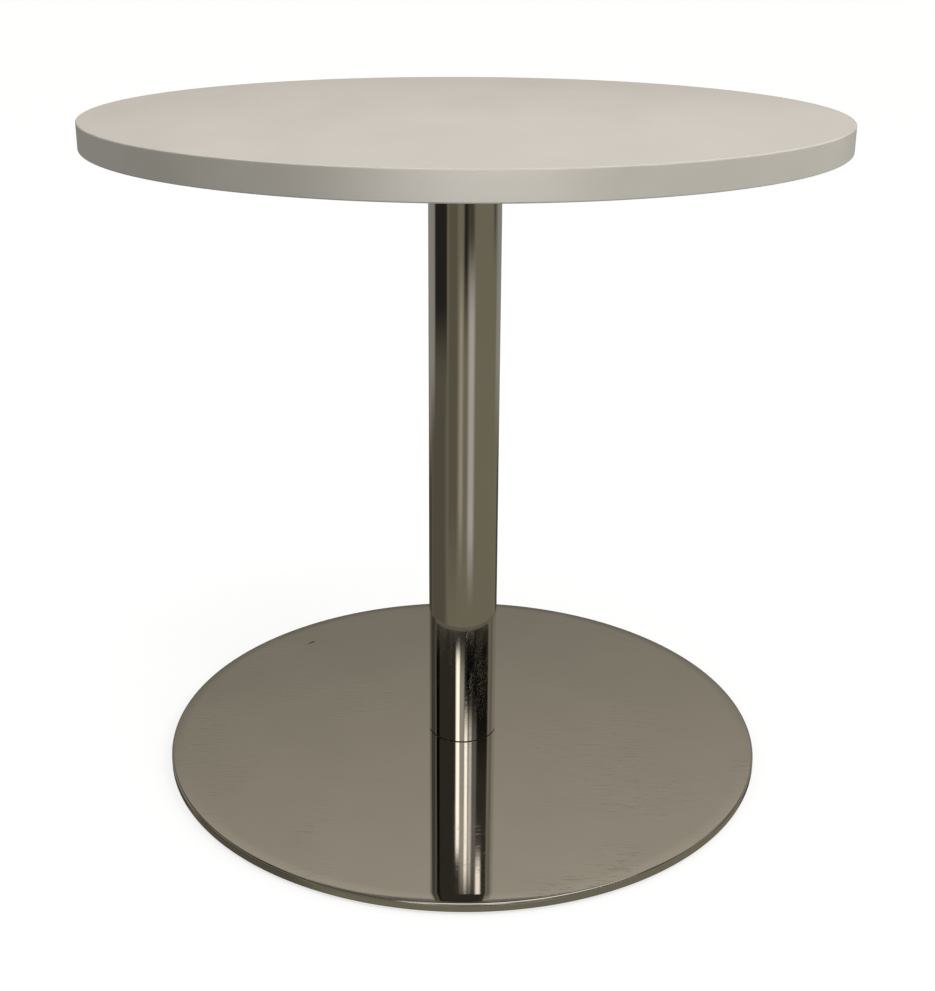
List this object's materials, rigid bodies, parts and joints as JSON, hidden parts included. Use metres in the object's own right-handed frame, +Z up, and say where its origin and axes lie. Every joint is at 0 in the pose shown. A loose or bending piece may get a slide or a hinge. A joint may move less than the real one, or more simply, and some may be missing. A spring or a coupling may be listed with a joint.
{
  "type": "bistro table",
  "caption": "Round pedestal table: pale laminated top with a banded edge on a polished stainless column and a flat, weighted, polished base with levelling feet.",
  "frame": {"origin": "on the floor under the middle of the column, the middle of the underside of the bounding box", "axes": "+Z up along the column; the four feet stand between the X and Y axes, at 45 degrees to them"},
  "size_m": [0.7999, 0.8, 0.75],
  "materials": {
    "top_laminate": "satin laminate, warm off-white",
    "edge_band": "satin plastic edge band, warm off-white",
    "board": "raw particle board",
    "backing_laminate": "matt balancing laminate",
    "black_powder_coat": "fine textured black powder coat",
    "black_paint": "thick matt black paint on steel",
    "polished_stainless": "mirror polished stainless steel with fine scratches",
    "plain_steel": "turned steel",
    "zinc_steel": "bright zinc plated steel",
    "dark_steel": "black oxide steel",
    "black_rubber": "matt black rubber",
    "foot_nylon": "black moulded nylon"
  },
  "bodies": {
    "table": {"tabletop_laminate": "top_laminate", "tabletop_core": "board", "tabletop_backing_sheet": "backing_laminate", "tabletop_edge_band": "edge_band", "tabletop_inserts": "zinc_steel", "mounting_plate": "black_powder_coat", "mounting_washers": "zinc_steel", "mounting_bolts": "zinc_steel", "column_head_bolts": "dark_steel", "column_head_plug": "plain_steel", "column_tube": "polished_stainless", "column_foot_plug": "plain_steel", "column_foot_gasket": "black_rubber", "base_cover": "polished_stainless", "base_ballast": "black_paint", "base_bolts": "dark_steel"},
    "foot_1_pad": {"foot_1_pad": "foot_nylon"},
    "foot_1_stud": {"foot_1_stud": "zinc_steel"},
    "foot_2_pad": {"foot_2_pad": "foot_nylon"},
    "foot_2_stud": {"foot_2_stud": "zinc_steel"},
    "foot_3_pad": {"foot_3_pad": "foot_nylon"},
    "foot_3_stud": {"foot_3_stud": "zinc_steel"},
    "foot_4_pad": {"foot_4_pad": "foot_nylon"},
    "foot_4_stud": {"foot_4_stud": "zinc_steel"}
  },
  "joints": [
    {"name": "foot_1_height", "type": "slide", "parent": "table", "child": "foot_1_pad", "axis": [0, 0, -1], "range_m": [0, 0.004]},
    {"name": "foot_1_turn", "type": "hinge", "parent": "foot_1_pad", "child": "foot_1_stud", "pos_m": [0.20153, 0.20153, 0.004], "axis": [0, 0, -1], "range_deg": [0, 1152]},
    {"name": "foot_2_height", "type": "slide", "parent": "table", "child": "foot_2_pad", "axis": [0, 0, -1], "range_m": [0, 0.004]},
    {"name": "foot_2_turn", "type": "hinge", "parent": "foot_2_pad", "child": "foot_2_stud", "pos_m": [-0.20153, 0.20153, 0.004], "axis": [0, 0, -1], "range_deg": [0, 1152]},
    {"name": "foot_3_height", "type": "slide", "parent": "table", "child": "foot_3_pad", "axis": [0, 0, -1], "range_m": [0, 0.004]},
    {"name": "foot_3_turn", "type": "hinge", "parent": "foot_3_pad", "child": "foot_3_stud", "pos_m": [-0.20153, -0.20153, 0.004], "axis": [0, 0, -1], "range_deg": [0, 1152]},
    {"name": "foot_4_height", "type": "slide", "parent": "table", "child": "foot_4_pad", "axis": [0, 0, -1], "range_m": [0, 0.004]},
    {"name": "foot_4_turn", "type": "hinge", "parent": "foot_4_pad", "child": "foot_4_stud", "pos_m": [0.20153, -0.20153, 0.004], "axis": [0, 0, -1], "range_deg": [0, 1152]}
  ],
  "couplings": [
    {"joint": "foot_1_turn", "follows": "foot_1_height", "rad_per_m": 5026.5},
    {"joint": "foot_2_turn", "follows": "foot_2_height", "rad_per_m": 5026.5},
    {"joint": "foot_3_turn", "follows": "foot_3_height", "rad_per_m": 5026.5},
    {"joint": "foot_4_turn", "follows": "foot_4_height", "rad_per_m": 5026.5}
  ]
}
